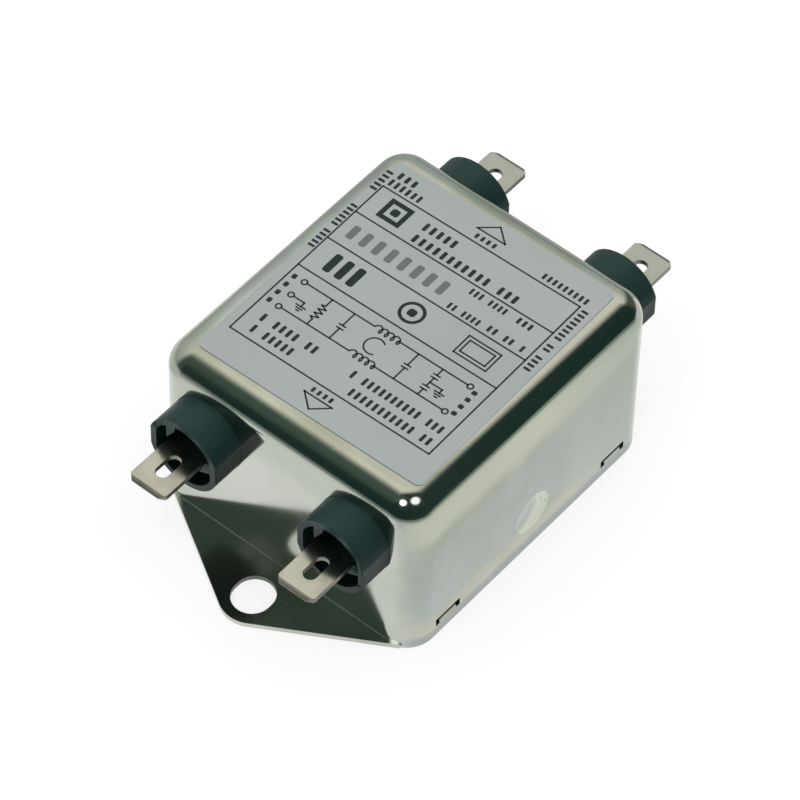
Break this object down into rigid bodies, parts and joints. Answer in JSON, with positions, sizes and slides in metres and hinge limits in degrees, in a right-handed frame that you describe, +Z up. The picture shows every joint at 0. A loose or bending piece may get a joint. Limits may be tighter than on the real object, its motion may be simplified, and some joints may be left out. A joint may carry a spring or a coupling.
{
  "type": "EMI line filter",
  "caption": "Single-phase mains interference filter in a drawn steel case with two slotted mounting ears and quick-connect tabs at both ends.",
  "frame": {"origin": "centre of the base plate's underside, on the mounting surface", "axes": "+Z up away from the mounting surface, +Y towards the line end, -Y towards the load end, +X to the right when the label is read"},
  "size_m": [0.045, 0.0766, 0.0299],
  "materials": {
    "case_steel": "bright nickel-plated drawn steel",
    "plate_steel": "bright nickel-plated sheet steel",
    "liner_sheet": "insulating pressboard sheet",
    "label_film": "matt silver-grey film",
    "bushing_plastic": "moulded thermoset, satin",
    "tinned_brass": "tin plated, satin",
    "ferrite": "sintered ferrite",
    "core_case": "moulded",
    "enamelled_copper": "enamelled wire",
    "film_capacitor": "moulded box",
    "disc_capacitor": "dipped coating",
    "resistor_body": "lacquered"
  },
  "bodies": {
    "root": {"can": "case_steel", "base_plate": "plate_steel", "liner": "liner_sheet", "label": "label_film", "bushing_load_left": "bushing_plastic", "bushing_load_right": "bushing_plastic", "bushing_line_left": "bushing_plastic", "bushing_line_right": "bushing_plastic", "tab_load_left": "tinned_brass", "tab_load_right": "tinned_brass", "tab_line_left": "tinned_brass", "tab_line_right": "tinned_brass", "choke_core": "ferrite", "core_cup": "core_case", "core_lid": "core_case", "core_divider": "liner_sheet", "winding_left": "enamelled_copper", "winding_right": "enamelled_copper", "x_capacitor_load": "film_capacitor", "x_capacitor_line": "film_capacitor", "y_capacitor_left": "disc_capacitor", "y_capacitor_right": "disc_capacitor", "bleed_resistor": "resistor_body"}
  },
  "joints": []
}
